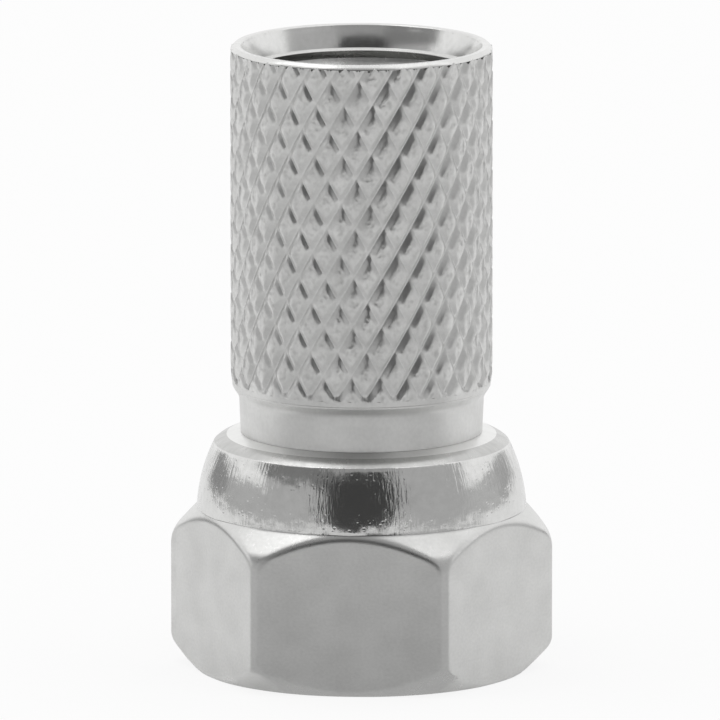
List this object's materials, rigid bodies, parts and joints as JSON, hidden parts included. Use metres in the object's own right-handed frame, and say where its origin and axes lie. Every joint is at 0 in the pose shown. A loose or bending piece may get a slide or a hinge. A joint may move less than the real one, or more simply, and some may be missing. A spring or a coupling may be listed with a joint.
{
  "type": "f connector",
  "caption": "Twist-on coaxial cable plug: a diamond-knurled sleeve with an inside cable thread, and a round-shouldered hexagon coupling nut that turns freely on it.",
  "frame": {"origin": "centre of the coupling nut's front face, on the plug's axis", "axes": "+Z along the axis towards the cable end, -Y towards the viewer, with a flat of the hexagon turned 4.3 degrees from it"},
  "size_m": [0.0126, 0.0114, 0.0207],
  "materials": {
    "sleeve_nickel": "satin",
    "nut_nickel": "satin"
  },
  "bodies": {
    "sleeve": {"knurled_sleeve": "sleeve_nickel"},
    "nut": {"coupling_nut": "nut_nickel"}
  },
  "joints": [
    {"name": "nut_spin", "type": "hinge", "parent": "sleeve", "child": "nut", "pos_m": [0, 0, 0.00702], "axis": [0, 0, 1], "continuous": true}
  ]
}
